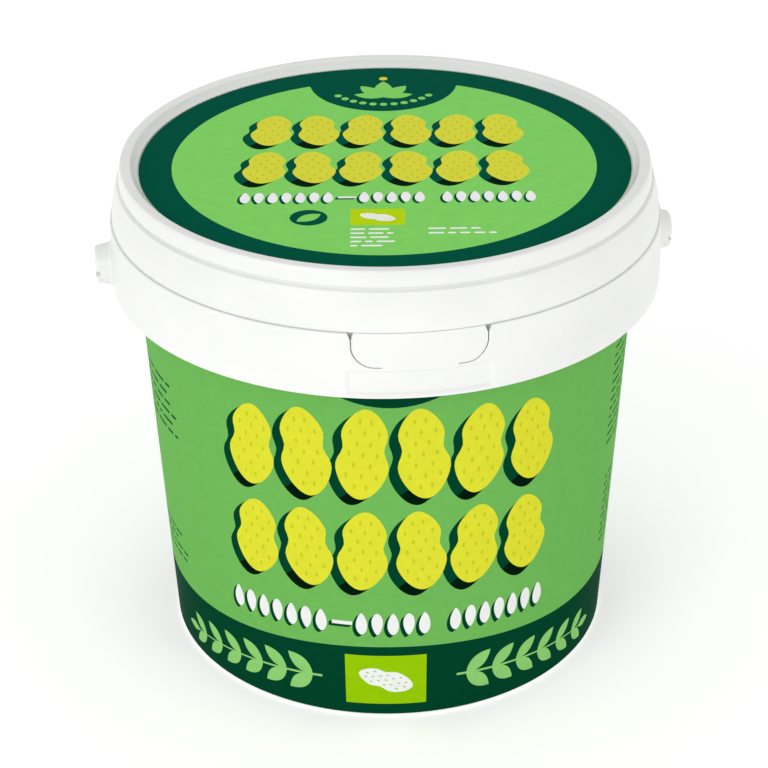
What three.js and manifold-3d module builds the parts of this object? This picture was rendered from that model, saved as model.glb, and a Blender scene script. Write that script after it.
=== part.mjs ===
// A family-size plastic tub of nut butter, shut: a tapered pail whose collar hangs round its neck,
// a press-on lid with a raised rim, and the two printed films moulded into them.
// Millimetres, +Z up. The origin is the middle of the base, and the print's middle faces -Y.
import * as THREE from "three";
import { mergeVertices } from "three/addons/utils/BufferGeometryUtils.js";
import Module from "manifold-3d";

const wasm = await Module();
wasm.setup();

// Driving dimensions
const HEIGHT = 125; // floor to the crest of the lid's rim
const COLLAR_RADIUS = 66.2; // outside of the collar where it is widest, near its lower edge
const FOOT_RADIUS = 54.55; // the wall's radius at the floor
const WALL_TAPER = 0.0541; // radius gained for each millimetre of height
const TURN = THREE.MathUtils.degToRad(7); // lugs and flap sit this far round from the print's middle
const SEGMENTS = 96; // steps round a full ring
const SMALL_SEGMENTS = 32; // steps round a lug

// Pail
const FOOT_ROUND = 0.8; // radius of the corner between wall and base
const FOOT_RING_WIDTH = 3.4; // flat ring that the pail stands on
const BASE_RECESS = 1.4; // depth of the base inside that ring
const COLLAR_BOTTOM = 95.4;
const COLLAR_TOP = 111;
const COLLAR_WALL = 1.8;
const COLLAR_DRAFT = 0.4; // how much narrower the collar is at its top
const COLLAR_ROUND = 0.3; // radius of the collar's long edges
const COLLAR_TUCK = 0.1; // how far the collar's lower edge leans in
const COLLAR_TUCK_HEIGHT = 4;
const WEB_BOTTOM = 107.8; // underside of the web that joins collar and wall
const NECK_RADIUS = 61.8; // closed neck inside the lid
const NECK_TOP = 119.9;

// Flap in the collar, cut free at its sides and round its lower corners
const FLAP_HALF_ANGLE = THREE.MathUtils.degToRad(13.2);
const FLAP_BOTTOM = 103.1;
const FLAP_CORNER = 5; // radius of the slit's turn at each lower corner
const SLIT_WIDTH = 0.5;
const SLIT_FOOT = 2; // how far each slit runs in along the flap's lower edge
const SLIT_DEPTH = 2.1; // into the collar from outside
const NOTCH_WIDTH = 2.4; // V-shaped mouth at the top of each slit
const NOTCH_DEPTH = 1.7;
const RECESS_DEPTH = 0.7; // set-back of the collar under the flap
const RECESS_TOP = 102;
const RECESS_BOTTOM = 96.4;
const CUT_CLEARANCE = 2; // how far a cutter reaches past what it cuts

// Handle lugs on the collar's sides
const LUG_RADIUS = 4.9; // where the lug's flared root ends
const LUG_ROOT_RADIUS = 5.9;
const LUG_ROOT_REACH = 67.4; // from the axis to the end of the root
const LUG_FACE_RADIUS = 4.5; // before the face's edge round
const LUG_REACH = 70; // from the axis to a lug's outer face
const LUG_HEIGHT = 100.4; // of a lug's middle
const LUG_ROUND = 0.8;
const LUG_SLOT_HEIGHT = 1.4;
const LUG_SLOT_DEPTH = 1.1;
const LUG_SLOT_DROP = 0.6; // from the lug's middle down to the slot's

// Lid
const PANEL_TOP = 122.6;
const PANEL_RADIUS = 58.7;
const LID_GAP = 0.35; // between lid and pail, all over
const CREST_INNER = 60.2; // flat of the rim's crest
const CREST_OUTER = 62.0;
const CREST_ROUND = 0.8; // radius of the crest's inner edge
const BEAD_RADIUS = 63.2; // outside of the rounded rim bead
const BEAD_BOTTOM = 121.1;
const GROOVE_RADIUS = 62.7; // fine groove between bead and skirt
const GROOVE_BOTTOM = 120.6;
const SKIRT_TOP_RADIUS = 63.8;
const SKIRT_TOP = 120.4;
const SKIRT_BOTTOM_RADIUS = 65.3;
const SKIRT_BOTTOM = 111.3;
const SKIRT_EDGE = 0.4; // bevel of the skirt's lower edge
const SKIRT_MOUTH = 63.4; // inside radius of the skirt's lower edge

// Printed films
const FILM = 0.2; // thickness
const FILM_GAP = 0.1; // between a film and the plastic under it
const BODY_FILM_BOTTOM = 1.0;
const BODY_FILM_TOP = 94.2;
const LID_FILM_RADIUS = 58.3;

// Colours and finishes
const WHITE_PLASTIC = { color: 0xf1f3f1, roughness: 0.32, metalness: 0 };
const BODY_PRINT = { color: 0x6cb454, roughness: 0.42, metalness: 0 };
const LID_PRINT = { color: 0x7dcd64, roughness: 0.4, metalness: 0 };

const wallRadius = (z) => FOOT_RADIUS + WALL_TAPER * z;

// Points of an elliptical arc about (r, z), between two angles in degrees
function arc(r, z, radiusR, radiusZ, from, to, steps) {
  const points = [];
  for (let i = 0; i <= steps; i += 1) {
    const angle = THREE.MathUtils.degToRad(from + ((to - from) * i) / steps);
    points.push([r + radiusR * Math.cos(angle), z + radiusZ * Math.sin(angle)]);
  }
  return points;
}

const corner = (r, z, radius, from, to) => arc(r, z, radius, radius, from, to, 3);

// Geometry turned about Z from a list of [radius, height] points
function turned(points, segments = SEGMENTS) {
  const profile = points.map(([r, z]) => new THREE.Vector2(r, z));
  return new THREE.LatheGeometry(profile, segments).rotateX(Math.PI / 2);
}

// An outline of [across, up] points, pushed out from the axis towards -Y
function pushed(outline, depth) {
  const shape = new THREE.Shape(outline.map(([u, z]) => new THREE.Vector2(u, z)));
  const geometry = new THREE.ExtrudeGeometry(shape, { depth, bevelEnabled: false, steps: 1 });
  return geometry.rotateX(Math.PI / 2);
}

// A closed geometry as a solid, with its shared vertices merged and its faces turned outwards
function toSolid(geometry) {
  geometry.deleteAttribute("normal");
  geometry.deleteAttribute("uv");
  const merged = mergeVertices(geometry, 1e-4);
  const [a, b, c] = [0, 1, 2].map(() => new THREE.Vector3());
  const triangles = [];
  let volume = 0;
  for (let i = 0; i < merged.index.count; i += 3) {
    const ids = [0, 1, 2].map((k) => merged.index.getX(i + k));
    if (new Set(ids).size === 3) {
      [a, b, c].forEach((point, k) => point.fromBufferAttribute(merged.attributes.position, ids[k]));
      volume += a.dot(b.cross(c));
      triangles.push(ids);
    }
  }
  const outward = volume < 0 ? triangles.map(([i, j, k]) => [i, k, j]) : triangles;
  const mesh = new wasm.Mesh({
    numProp: 3,
    vertProperties: Float32Array.from(merged.attributes.position.array),
    triVerts: Uint32Array.from(outward.flat()),
  });
  return new wasm.Manifold(mesh);
}

function toMesh(solid, name, finish) {
  const { vertProperties, triVerts } = solid.getMesh();
  const geometry = new THREE.BufferGeometry();
  geometry.setAttribute("position", new THREE.BufferAttribute(vertProperties, 3));
  geometry.setIndex(new THREE.BufferAttribute(triVerts, 1));
  geometry.computeVertexNormals();
  const mesh = new THREE.Mesh(geometry, new THREE.MeshStandardMaterial(finish));
  mesh.name = name;
  return mesh;
}

// Pail: base, tapered wall, collar and closed neck in one turned solid
function pailBlank() {
  const footOuter = wallRadius(FOOT_ROUND) - FOOT_ROUND;
  const footInner = footOuter - FOOT_RING_WIDTH;
  const collarInside = COLLAR_RADIUS - COLLAR_WALL;
  const edgeRadius = COLLAR_RADIUS - COLLAR_TUCK - COLLAR_ROUND;
  return toSolid(turned([
    [0, BASE_RECESS],
    [footInner - BASE_RECESS / 2, BASE_RECESS],
    [footInner, 0],
    ...corner(footOuter, FOOT_ROUND, FOOT_ROUND, -90, 0),
    [wallRadius(WEB_BOTTOM), WEB_BOTTOM],
    [collarInside, WEB_BOTTOM],
    [collarInside, COLLAR_BOTTOM],
    ...corner(edgeRadius, COLLAR_BOTTOM + COLLAR_ROUND, COLLAR_ROUND, -90, 0),
    [COLLAR_RADIUS, COLLAR_BOTTOM + COLLAR_TUCK_HEIGHT],
    ...corner(COLLAR_RADIUS - COLLAR_DRAFT - COLLAR_ROUND, COLLAR_TOP - COLLAR_ROUND, COLLAR_ROUND, 0, 90),
    [NECK_RADIUS, COLLAR_TOP],
    [NECK_RADIUS, NECK_TOP],
    [0, NECK_TOP],
  ]));
}

// A closed ring about Z between two radii and two heights, with its inner edges drawn together
function ringCutter(inner, bottom, top, draw = 0) {
  const outer = COLLAR_RADIUS + CUT_CLEARANCE;
  const start = [inner, bottom + draw];
  return toSolid(turned([start, [outer, bottom], [outer, top], [inner, top - draw], start]));
}

// One slit: a V mouth, a straight side, a round lower corner and a short foot, on side +1 or -1
function slitOutline(side) {
  const half = SLIT_WIDTH / 2;
  const mouth = NOTCH_WIDTH / 2;
  const line = COLLAR_RADIUS * Math.sin(FLAP_HALF_ANGLE);
  const top = COLLAR_TOP + CUT_CLEARANCE;
  const turnR = line - FLAP_CORNER;
  const turnZ = FLAP_BOTTOM + FLAP_CORNER;
  return [
    [line + mouth, top],
    [line + mouth, COLLAR_TOP],
    [line + half, COLLAR_TOP - NOTCH_DEPTH],
    ...arc(turnR, turnZ, FLAP_CORNER + half, FLAP_CORNER + half, 0, -90, 8),
    [turnR - SLIT_FOOT, FLAP_BOTTOM - half],
    [turnR - SLIT_FOOT, FLAP_BOTTOM + half],
    ...arc(turnR, turnZ, FLAP_CORNER - half, FLAP_CORNER - half, -90, 0, 8),
    [line - half, COLLAR_TOP - NOTCH_DEPTH],
    [line - mouth, COLLAR_TOP],
    [line - mouth, top],
  ].map(([u, z]) => [side * u, z]);
}

// Both slits, cut only as deep as the collar's own wall
function flapSlits() {
  const reach = COLLAR_RADIUS + CUT_CLEARANCE;
  const inner = COLLAR_RADIUS - SLIT_DEPTH;
  const ring = ringCutter(inner, FLAP_BOTTOM - CUT_CLEARANCE, COLLAR_TOP + CUT_CLEARANCE);
  const [left, right] = [-1, 1].map((side) => toSolid(pushed(slitOutline(side), reach).rotateZ(TURN)));
  return left.add(right).intersect(ring);
}

// The shallow set-back of the collar below the flap
function flapRecess() {
  const line = COLLAR_RADIUS * Math.sin(FLAP_HALF_ANGLE) + NOTCH_WIDTH / 2;
  const bottom = RECESS_BOTTOM - CUT_CLEARANCE;
  const top = RECESS_TOP + CUT_CLEARANCE;
  const outline = [[-line, bottom], [line, bottom], [line, top], [-line, top]];
  const draw = CUT_CLEARANCE + RECESS_DEPTH;
  const ring = ringCutter(COLLAR_RADIUS - RECESS_DEPTH, bottom, top, draw);
  return toSolid(pushed(outline, COLLAR_RADIUS + CUT_CLEARANCE).rotateZ(TURN)).intersect(ring);
}

// A round lug with a flared root and a level slot in its outer face, turned to its side of the collar
function lug(angle) {
  const inner = COLLAR_RADIUS - COLLAR_WALL / 2;
  const boss = turned([
    [0, inner],
    [LUG_ROOT_RADIUS, inner],
    [LUG_ROOT_RADIUS, COLLAR_RADIUS - COLLAR_DRAFT],
    [LUG_RADIUS, LUG_ROOT_REACH],
    ...corner(LUG_FACE_RADIUS - LUG_ROUND, LUG_REACH - LUG_ROUND, LUG_ROUND, 0, 90),
    [0, LUG_REACH],
  ], SMALL_SEGMENTS);
  const slot = new THREE.BoxGeometry(2 * LUG_SLOT_DEPTH, 3 * LUG_RADIUS, LUG_SLOT_HEIGHT);
  const place = (geometry) => toSolid(geometry.translate(0, 0, LUG_HEIGHT).rotateZ(angle));
  return place(boss.rotateY(Math.PI / 2)).subtract(place(slot.translate(LUG_REACH, 0, -LUG_SLOT_DROP)));
}

function pail() {
  const cut = pailBlank().subtract(flapSlits()).subtract(flapRecess());
  return cut.add(lug(TURN)).add(lug(TURN + Math.PI));
}

// Outer face of the lid's skirt, from its lower edge up: it leans in more and more towards the top
function skirtFace() {
  const steps = 5;
  const foot = SKIRT_BOTTOM + SKIRT_EDGE;
  const points = [];
  for (let i = 0; i <= steps; i += 1) {
    const t = i / steps;
    const radius = SKIRT_BOTTOM_RADIUS + (SKIRT_TOP_RADIUS - SKIRT_BOTTOM_RADIUS) * t * t;
    points.push([radius, foot + (SKIRT_TOP - foot) * t]);
  }
  return points;
}

// Lid: panel, raised rim bead, fine groove and leaning skirt
function lid() {
  const inside = NECK_RADIUS + LID_GAP;
  const underside = NECK_TOP + LID_GAP;
  const beadWidth = BEAD_RADIUS - CREST_OUTER;
  const beadHeight = HEIGHT - BEAD_BOTTOM;
  return toSolid(turned([
    [0, underside],
    [inside, underside],
    [inside, SKIRT_BOTTOM + 2 * (SKIRT_MOUTH - inside)],
    [SKIRT_MOUTH, SKIRT_BOTTOM],
    [SKIRT_BOTTOM_RADIUS - SKIRT_EDGE, SKIRT_BOTTOM],
    ...skirtFace(),
    [GROOVE_RADIUS, GROOVE_BOTTOM],
    ...arc(CREST_OUTER, BEAD_BOTTOM, beadWidth, beadHeight, 0, 90, 7),
    ...corner(CREST_INNER, HEIGHT - CREST_ROUND, CREST_ROUND, 90, 165),
    [PANEL_RADIUS, PANEL_TOP],
    [0, PANEL_TOP],
  ]));
}

// Printed film round the wall
function bodyFilm() {
  const inner = (z) => [wallRadius(z) + FILM_GAP, z];
  const outer = (z) => [wallRadius(z) + FILM_GAP + FILM, z];
  const [bottom, top] = [BODY_FILM_BOTTOM, BODY_FILM_TOP];
  return toSolid(turned([inner(bottom), outer(bottom), outer(top), inner(top), inner(bottom)]));
}

// Round printed film on the lid's panel
function lidFilm() {
  const bottom = PANEL_TOP + FILM_GAP;
  const top = bottom + FILM;
  return toSolid(turned([[0, bottom], [LID_FILM_RADIUS, bottom], [LID_FILM_RADIUS, top], [0, top]]));
}

const tub = new THREE.Group();
tub.add(
  toMesh(pail(), "pail", WHITE_PLASTIC),
  toMesh(lid(), "lid", WHITE_PLASTIC),
  toMesh(bodyFilm(), "body_label", BODY_PRINT),
  toMesh(lidFilm(), "lid_label", LID_PRINT),
);

export default tub;
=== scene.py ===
# A shut plastic tub of nut butter, dressed for rendering: white moulded pail and press-on lid,
# and the printed films round the wall and on the lid. Metres, +Z up, the print's middle faces -Y.
import math
import random

import bmesh
import bpy
from mathutils import Matrix, Vector
from mathutils.geometry import delaunay_2d_cdt


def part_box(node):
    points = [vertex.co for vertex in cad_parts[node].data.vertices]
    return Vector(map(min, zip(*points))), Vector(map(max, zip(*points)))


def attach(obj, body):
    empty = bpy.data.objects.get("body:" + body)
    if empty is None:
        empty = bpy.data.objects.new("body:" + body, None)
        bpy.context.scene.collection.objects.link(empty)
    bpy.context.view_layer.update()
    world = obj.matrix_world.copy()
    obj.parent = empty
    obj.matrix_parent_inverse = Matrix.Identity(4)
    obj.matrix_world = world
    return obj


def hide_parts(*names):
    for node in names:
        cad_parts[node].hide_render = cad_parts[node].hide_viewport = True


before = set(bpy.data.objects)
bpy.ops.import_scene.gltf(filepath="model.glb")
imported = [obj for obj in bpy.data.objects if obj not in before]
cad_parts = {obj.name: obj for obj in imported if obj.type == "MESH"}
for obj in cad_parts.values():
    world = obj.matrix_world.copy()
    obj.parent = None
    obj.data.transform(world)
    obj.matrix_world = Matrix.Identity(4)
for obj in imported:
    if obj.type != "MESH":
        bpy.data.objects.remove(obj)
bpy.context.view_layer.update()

# Lengths are in millimetres and angles in degrees, except where a comment says metres
MM = 0.001
FRONT = -90.0  # direction of the print's middle about +Z, from +X
LUG_TURN = 7.0  # how far the lugs sit round from the print's sides

# Heights and radii read from the frame's boxes
_, pail_hi = [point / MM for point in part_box("pail")]
lid_lo, lid_hi = [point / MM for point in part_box("lid")]
film_lo, film_hi = [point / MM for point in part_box("body_label")]
disc_lo, disc_hi = [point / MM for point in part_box("lid_label")]

HEIGHT = lid_hi.z
FILM = disc_hi.z - disc_lo.z
FILM_GAP = 0.1
COLLAR_RADIUS = pail_hi.y
FILM_TOP_RADIUS = film_hi.x
WALL_TAPER = 0.0541
FOOT_RADIUS = FILM_TOP_RADIUS - FILM - FILM_GAP - WALL_TAPER * film_hi.z
NECK_TOP = pail_hi.z
SKIRT_BOTTOM = lid_lo.z
SKIRT_BOTTOM_RADIUS = lid_hi.x
PANEL_TOP = disc_lo.z - FILM_GAP

# Pail
FOOT_ROUND = 0.8
FOOT_RING_WIDTH = 3.4
FOOT_RING_ROUND = 0.25
BASE_RECESS = 1.4
COLLAR_BOTTOM = 95.4
COLLAR_TOP = 111.21
COLLAR_WALL = 1.8
COLLAR_DRAFT = 0.4
COLLAR_ROUND = 0.3
COLLAR_TOP_ROUND = 0.18
COLLAR_INNER_ROUND = 0.3
COLLAR_TUCK = 0.1
COLLAR_TUCK_HEIGHT = 4.0
WEB_BOTTOM = 107.8
WEB_FILLET = 1.0  # where the wall runs into the web under the collar's top
WEB_ROUND = 0.5  # where the web runs into the collar's inner face
NECK_RADIUS = 61.8
SHELF_STEP = 1.2

# Flap in the collar
FLAP_TURN = 6.4  # its middle, round from the print's middle
FLAP_HALF_ANGLE = 13.2
FLAP_REACH = 5.0  # how far past the slits the collar's face is formed
FACE_MARGIN = 0.1
FLAP_BOTTOM = 103.1
FLAP_CORNER = 5.0
FLAP_LEAN = 0.45  # how far the flap's top edge leans in
LEAN_SIDE = 0.3
LEAN_START = 0.5
FLAP_DIP = 0.12  # how far the collar's face is drawn in along each slit
DIP_REACH = 0.7
SLIT_WIDTH = 0.26
SLIT_FOOT = 1.6
SLIT_END = 62.2  # how near to the middle plane a slit's cut goes
NOTCH_WIDTH = 1.5
NOTCH_DEPTH = 1.6
CUT_MARGIN = 1.0
RECESS_DEPTH = 0.7
RECESS_TOP = 102.6
RECESS_BOTTOM = 96.0
RECESS_TOP_EDGE = 1.0
RECESS_BOTTOM_EDGE = 0.9
RECESS_SIDE_EDGE = (0.3, 1.6)

# Steps round the pail
FINE_STEP = 0.18
COARSE_STEP = 1.5
FINE_MARGIN = 4.0  # how far past the slits the fine steps go

# Lugs
LUG_RADIUS = 4.9
LUG_ROOT_RADIUS = 5.9
LUG_ROOT_REACH = 67.4
LUG_FACE_RADIUS = 4.5
LUG_REACH = 69.97
LUG_HEIGHT = 100.4
LUG_ROUND = 0.8
LUG_SLOT_HEIGHT = 1.4
LUG_SLOT_DEPTH = 1.1
LUG_SLOT_DROP = 0.6
LUG_SLOT_EDGE = 0.25
LUG_STEPS = 96

# Lid
PANEL_RADIUS = 58.7
PANEL_EDGE_STRIP = 2.0
PANEL_FILLET = 0.6
PANEL_FILLET_PLACE = (0.5, 0.55)  # its centre, out and up from the panel's edge
CREST_INNER = 60.7
CREST_OUTER = 62.4
CREST_ROUND = 0.8
BEAD_RADIUS = 63.2
BEAD_BOTTOM = 121.1
GROOVE_RADIUS = 62.7
GROOVE_BOTTOM = 120.6
GROOVE_ROUND = 0.1
GROOVE_HALF_HEIGHT = 0.2
SKIRT_TOP_RADIUS = 63.8
SKIRT_TOP = 120.4
SKIRT_TOP_ROUND = 0.3
SKIRT_STEPS = 12
SKIRT_EDGE = 0.22
SKIRT_MOUTH = 63.4
LID_GAP = 0.35
LID_STEPS = 256

# Print colours, as seen on a screen, and the light that falls on each film beside plain daylight
WALL_INKS = {
    "green": (112, 184, 90),
    "panel_green": (128, 204, 102),
    "band_green": (143, 207, 116),
    "dark_green": (2, 66, 42),
    "shade_green": (1, 28, 12),
    "yellow": (223, 224, 54),
    "dull_yellow": (203, 203, 40),
    "lime": (150, 200, 8),
    "white": (240, 242, 240),
    "seam_white": (240, 241, 238),
}
LID_INKS = {
    "light_green": (126, 204, 98),
    "border_green": (0, 78, 60),
    "border_shade": (1, 30, 16),
    "lid_yellow": (211, 211, 63),
    "lid_dull_yellow": (188, 190, 50),
    "lid_lime": (179, 208, 12),
    "lid_white": (233, 234, 233),
}
WALL_LIGHT = 1.13
LID_LIGHT = 0.9

# Surface detail, in metres: a scale is the number of noise periods in one metre
MOTTLE_ENDS = (0.32, 0.68)
NOISE_ENDS = (0.3, 0.7)
FLOW_SCALE = 38.0
GRAIN_SCALE = 2600.0
PLASTIC_TONES = ((0.78, 0.79, 0.775), (0.82, 0.825, 0.81))
PLASTIC_ROUGHNESS = (0.3, 0.38)
PLASTIC_IOR = 1.49
GRAIN_SHARE = 0.12
PLASTIC_BUMP = 0.12
GLOW_THROUGH = 0.06
GLOW_DEPTH = 0.002
FILM_FLOW_SCALE = 45.0
PRESS_SCALE = 420.0
PRESS_TONES = (0.965, 1.03)
PRESS_SHARE = 0.05
FILM_BUMP = 0.1
FILM_ROUGHNESS = (0.36, 0.44)
FILM_IOR = 1.45
FILM_SPECULAR = 0.002
BUMP_HEIGHT = 0.0004


def screen_to_linear(value):
    """One screen colour value from 0 to 255 as linear light."""
    v = value / 255.0
    return v / 12.92 if v <= 0.04045 else ((v + 0.055) / 1.055) ** 2.4


def ink(name):
    """The ink's own colour, which looks as listed under the light on its film."""
    seen, light = (WALL_INKS[name], WALL_LIGHT) if name in WALL_INKS else (LID_INKS[name], LID_LIGHT)
    return tuple(screen_to_linear(v) / light for v in seen)


def smooth(low, high, value):
    """0 below low, 1 above high, with a soft step between them."""
    t = min(1.0, max(0.0, (value - low) / (high - low)))
    return t * t * (3.0 - 2.0 * t)


def wall_radius(z):
    return FOOT_RADIUS + WALL_TAPER * z


# Materials


def add_node(tree, kind, **values):
    node = tree.nodes.new(kind)
    for key, value in values.items():
        if hasattr(node, key):
            setattr(node, key, value)
        else:
            node.inputs[key].default_value = value
    return node


def new_material(name):
    material = bpy.data.materials.new(name)
    material.use_nodes = True
    tree = material.node_tree
    shader = tree.nodes["Principled BSDF"]
    place = add_node(tree, "ShaderNodeTexCoord")
    return material, tree, shader, place.outputs["Object"]


def noise(tree, place, scale, detail=3.0, roughness=0.5):
    node = add_node(tree, "ShaderNodeTexNoise", Scale=scale, Detail=detail, Roughness=roughness)
    tree.links.new(place, node.inputs["Vector"])
    return node.outputs["Fac"]


def ranged(tree, value, low, high):
    """The middle stretch of a noise spread out to run from low to high."""
    node = add_node(tree, "ShaderNodeMapRange")
    for key, number in zip(("From Min", "From Max", "To Min", "To Max"), (*NOISE_ENDS, low, high)):
        node.inputs[key].default_value = number
    tree.links.new(value, node.inputs["Value"])
    return node.outputs["Result"]


def mottled(tree, value, shader, first, second):
    """Base colour that wanders between two near colours."""
    ramp = add_node(tree, "ShaderNodeValToRGB")
    for element, end, colour in zip(ramp.color_ramp.elements, MOTTLE_ENDS, (first, second)):
        element.position = end
        element.color = (*colour, 1.0)
    tree.links.new(value, ramp.inputs["Fac"])
    tree.links.new(ramp.outputs["Color"], shader.inputs["Base Color"])


def bumped(tree, height, shader, strength):
    bump = add_node(tree, "ShaderNodeBump", Strength=strength, Distance=BUMP_HEIGHT)
    tree.links.new(height, bump.inputs["Height"])
    tree.links.new(bump.outputs["Normal"], shader.inputs["Normal"])


def mixed(tree, first, second, share):
    """Two heights added, the second at a share of its own."""
    node = add_node(tree, "ShaderNodeMath", operation="MULTIPLY_ADD")
    tree.links.new(second, node.inputs[0])
    node.inputs[1].default_value = share
    tree.links.new(first, node.inputs[2])
    return node.outputs[0]


def white_plastic():
    """Moulded polypropylene: near white, softly glossy, with flow waves and a fine die grain."""
    material, tree, shader, place = new_material("white_plastic")
    flow = noise(tree, place, FLOW_SCALE, 2.0)
    grain = noise(tree, place, GRAIN_SCALE, 2.0, 0.6)
    mottled(tree, flow, shader, *PLASTIC_TONES)
    tree.links.new(ranged(tree, flow, *PLASTIC_ROUGHNESS), shader.inputs["Roughness"])
    bumped(tree, mixed(tree, flow, grain, GRAIN_SHARE), shader, PLASTIC_BUMP)
    shader.inputs["IOR"].default_value = PLASTIC_IOR
    shader.inputs["Subsurface Weight"].default_value = GLOW_THROUGH
    shader.inputs["Subsurface Scale"].default_value = GLOW_DEPTH
    return material


def print_ink(name):
    """Ink under the film's gloss: an even field with a faint press mottle."""
    material, tree, shader, place = new_material("print_" + name)
    press = noise(tree, place, PRESS_SCALE, 4.0, 0.6)
    flow = noise(tree, place, FILM_FLOW_SCALE, 2.0)
    tones = [tuple(min(1.0, c * tone) for c in ink(name)) for tone in PRESS_TONES]
    mottled(tree, press, shader, *tones)
    tree.links.new(ranged(tree, flow, *FILM_ROUGHNESS), shader.inputs["Roughness"])
    bumped(tree, mixed(tree, flow, press, PRESS_SHARE), shader, FILM_BUMP)
    shader.inputs["IOR"].default_value = FILM_IOR
    shader.inputs["Specular IOR Level"].default_value = FILM_SPECULAR
    return material


# Turned and cut shapes


def arc(r, z, radius_r, radius_z, start, end, steps):
    """Points of an elliptical arc about (r, z), between two angles."""
    points = []
    for i in range(steps + 1):
        angle = math.radians(start + (end - start) * i / steps)
        points.append((r + radius_r * math.cos(angle), z + radius_z * math.sin(angle)))
    return points


def corner(r, z, radius, start, end, steps=5):
    return arc(r, z, radius, radius, start, end, steps)


def along(start, end, count):
    """Points on the straight line from start to end, both of them included."""
    return [
        (start[0] + (end[0] - start[0]) * i / count, start[1] + (end[1] - start[1]) * i / count)
        for i in range(count + 1)
    ]


def rise(start, end, count):
    """Points on the straight line from start to end, without the start itself."""
    return along(start, end, count)[1:]


def turned(bm, profile, angles, shape=None):
    """Rings of (radius, height) points at the given angles; shape(r, z, angle) gives a bent radius."""
    rings = []
    for r, z in profile:
        if r < 1e-6:
            rings.append([bm.verts.new((0.0, 0.0, z * MM))])
            continue
        ring = []
        for angle in angles:
            rr = shape(r, z, angle) if shape else r
            a = math.radians(angle)
            ring.append(bm.verts.new((rr * math.cos(a) * MM, rr * math.sin(a) * MM, z * MM)))
        rings.append(ring)
    count = len(angles)
    for low, high in zip(rings, rings[1:]):
        for i in range(count):
            j = (i + 1) % count
            if len(low) == 1:
                bm.faces.new((low[0], high[j], high[i]))
            elif len(high) == 1:
                bm.faces.new((low[i], low[j], high[0]))
            else:
                bm.faces.new((low[i], low[j], high[j], high[i]))


def even_angles(count):
    return [360.0 * i / count for i in range(count)]


def finish_mesh(bm, name, sharp=32.0):
    """An object from bm, smooth but for edges sharper than the given angle."""
    bmesh.ops.recalc_face_normals(bm, faces=bm.faces)
    for face in bm.faces:
        face.smooth = True
    for edge in bm.edges:
        if len(edge.link_faces) == 2:
            edge.smooth = edge.calc_face_angle() < math.radians(sharp)
    mesh = bpy.data.meshes.new(name)
    bm.to_mesh(mesh)
    bm.free()
    piece = bpy.data.objects.new(name, mesh)
    bpy.context.scene.collection.objects.link(piece)
    return piece


def baked(piece):
    """The piece with its modifiers worked into its mesh."""
    graph = bpy.context.evaluated_depsgraph_get()
    mesh = bpy.data.meshes.new_from_object(piece.evaluated_get(graph))
    piece.modifiers.clear()
    piece.data = mesh
    return piece


def joined_or_cut(piece, other, operation):
    """One Boolean with another object, which is then removed."""
    boolean = piece.modifiers.new("boolean", "BOOLEAN")
    boolean.operation = operation
    boolean.solver = "MANIFOLD"
    boolean.object = other
    baked(piece)
    bpy.data.objects.remove(other)


# Pail


def slit_corner():
    """How far out a slit runs, and the centre of the bend at its foot, on the collar's face."""
    line = COLLAR_RADIUS * math.sin(math.radians(FLAP_HALF_ANGLE))
    return line, line - FLAP_CORNER, FLAP_BOTTOM + FLAP_CORNER


def slit_line(u, z):
    """Distance from a point of the collar's face to the nearer slit's middle line."""
    side = abs(u)
    line, turn_u, turn_z = slit_corner()
    if z >= turn_z:
        return abs(side - line)
    if side >= turn_u:
        return abs(math.hypot(side - turn_u, z - turn_z) - FLAP_CORNER)
    return math.hypot(max(0.0, turn_u - SLIT_FOOT - side), z - FLAP_BOTTOM)


def collar_face(r, z, angle):
    """Radius of the collar's outer face, with the flap's lean and the set-back under it pressed in."""
    turn = (angle - FRONT - FLAP_TURN + 180.0) % 360.0 - 180.0
    is_outer = r >= COLLAR_RADIUS - COLLAR_WALL + FACE_MARGIN and z >= COLLAR_BOTTOM
    if not is_outer or abs(turn) > FLAP_HALF_ANGLE + FLAP_REACH:
        return r
    u = COLLAR_RADIUS * math.sin(math.radians(turn))
    line, _, _ = slit_corner()
    dip = FLAP_DIP * (1.0 - smooth(SLIT_WIDTH / 2, SLIT_WIDTH / 2 + DIP_REACH, slit_line(u, z)))
    inside = 1.0 - smooth(line - LEAN_SIDE, line, abs(u))
    lean = FLAP_LEAN * smooth(FLAP_BOTTOM - LEAN_START, COLLAR_TOP, z) * inside
    above = smooth(RECESS_BOTTOM, RECESS_BOTTOM + RECESS_BOTTOM_EDGE, z)
    low = above - smooth(RECESS_TOP - RECESS_TOP_EDGE, RECESS_TOP, z)
    across = 1.0 - smooth(line + RECESS_SIDE_EDGE[0], line + RECESS_SIDE_EDGE[1], abs(u))
    return r - max(dip, RECESS_DEPTH * low * across) - lean


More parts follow.
